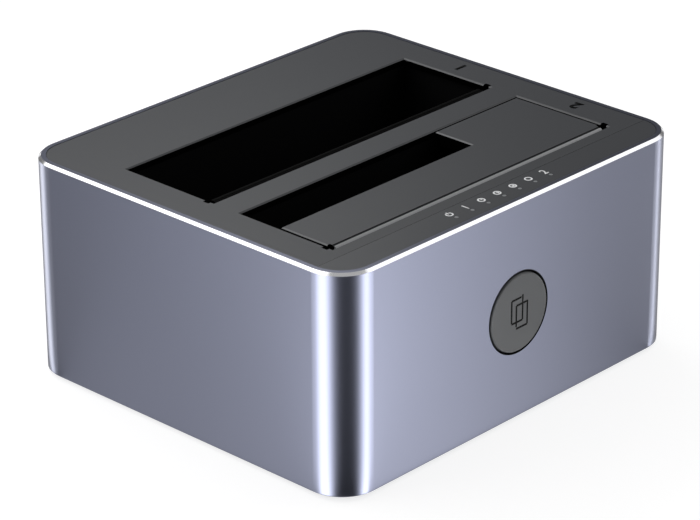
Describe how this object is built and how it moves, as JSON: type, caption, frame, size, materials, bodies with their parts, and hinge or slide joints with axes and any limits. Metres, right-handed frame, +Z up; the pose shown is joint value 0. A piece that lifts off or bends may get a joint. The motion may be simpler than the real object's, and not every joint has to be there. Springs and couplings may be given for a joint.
{
  "type": "drive duplicator",
  "caption": "Desktop drive duplicator: rounded metal sleeve, dark top with long drive bays under fold-down flaps, a row of indicator lights, and a round copy button on the front.",
  "frame": {"origin": "on the surface that the feet stand on, under the middle of the sleeve", "axes": "+X to the right along the bays, +Y to the rear with the sockets, +Z up; the copy button faces -Y"},
  "size_m": [0.1276, 0.1153, 0.0612],
  "materials": {
    "anodised_sleeve": "bead-blasted and anodised blue-grey, with bright cut edges",
    "black_moulding": "moulded, fine texture",
    "foot_rubber": "matt",
    "black_screw": "black oxide",
    "panel_plastic": "satin, fine spark texture",
    "film": "satin printed film",
    "clear_guide": "clear moulded",
    "circuit_board": "solder mask",
    "lamp": "moulded lamp",
    "steel_screw": "zinc plated",
    "bay_plastic": "moulded, black",
    "flap_plastic": "satin, fine spark texture",
    "pin_steel": "ground",
    "button_plastic": "satin with a sunk symbol",
    "plunger_plastic": "moulded",
    "socket_plastic": "moulded",
    "gilt_contact": "gold flash",
    "chip_epoxy": "moulded epoxy",
    "plated_metal": "nickel plated",
    "capacitor_can": "sleeved can",
    "ferrite": "pressed ferrite",
    "switch_plastic": "moulded",
    "rocker_plastic": "polished",
    "lead_insulation": "smooth",
    "ribbon_film": "smooth",
    "white_nylon": "moulded"
  },
  "bodies": {
    "dock": {"sleeve": "anodised_sleeve", "base_plate": "black_moulding", "feet": "foot_rubber", "tie_screws": "black_screw", "top_panel": "panel_plastic", "indicator_film": "film", "light_guide": "clear_guide", "indicator_board": "circuit_board", "indicator_leds": "lamp", "indicator_screws": "steel_screw", "bay_well_1": "bay_plastic", "bay_well_2": "bay_plastic", "well_screws": "steel_screw", "button_holder": "black_moulding", "button_screws": "steel_screw", "button_board": "circuit_board", "button_switch": "black_moulding", "main_board": "circuit_board", "board_screws": "steel_screw", "sata_socket_1": "socket_plastic", "sata_socket_2": "socket_plastic", "sata_contacts_1": "gilt_contact", "sata_contacts_2": "gilt_contact", "bridge_chip": "chip_epoxy", "copy_controller": "chip_epoxy", "memory_chip": "chip_epoxy", "crystal": "plated_metal", "filter_capacitors": "capacitor_can", "power_inductors": "ferrite", "usb_shell": "plated_metal", "usb_tongue": "socket_plastic", "power_jack": "socket_plastic", "power_jack_pin": "plated_metal", "switch_housing": "switch_plastic", "switch_terminals": "plated_metal", "switch_leads": "lead_insulation", "indicator_ribbon": "ribbon_film", "button_ribbon": "ribbon_film", "ribbon_sockets": "white_nylon"},
    "flap_1": {"flap_1": "flap_plastic", "flap_pin_1": "pin_steel"},
    "flap_2": {"flap_2": "flap_plastic", "flap_pin_2": "pin_steel"},
    "copy_button": {"button_cap": "button_plastic", "switch_plunger": "plunger_plastic"},
    "power_rocker": {"power_rocker": "rocker_plastic"}
  },
  "joints": [
    {"name": "flap_1_hinge", "type": "hinge", "parent": "dock", "child": "flap_1", "pos_m": [0, 0.0002, 0.0589], "axis": [1, 0, 0], "range_deg": [0, 90]},
    {"name": "flap_2_hinge", "type": "hinge", "parent": "dock", "child": "flap_2", "pos_m": [0, -0.0402, 0.0589], "axis": [-1, 0, 0], "range_deg": [0, 90]},
    {"name": "copy_button_press", "type": "slide", "parent": "dock", "child": "copy_button", "axis": [0, 1, 0], "range_m": [0, 0.0008], "stiffness_N_per_m": 1500, "springref_m": -0.0003},
    {"name": "power_rocker_tilt", "type": "hinge", "parent": "dock", "child": "power_rocker", "pos_m": [0.04, 0.0557, 0.03], "axis": [1, 0, 0], "range_deg": [0, 20]}
  ]
}
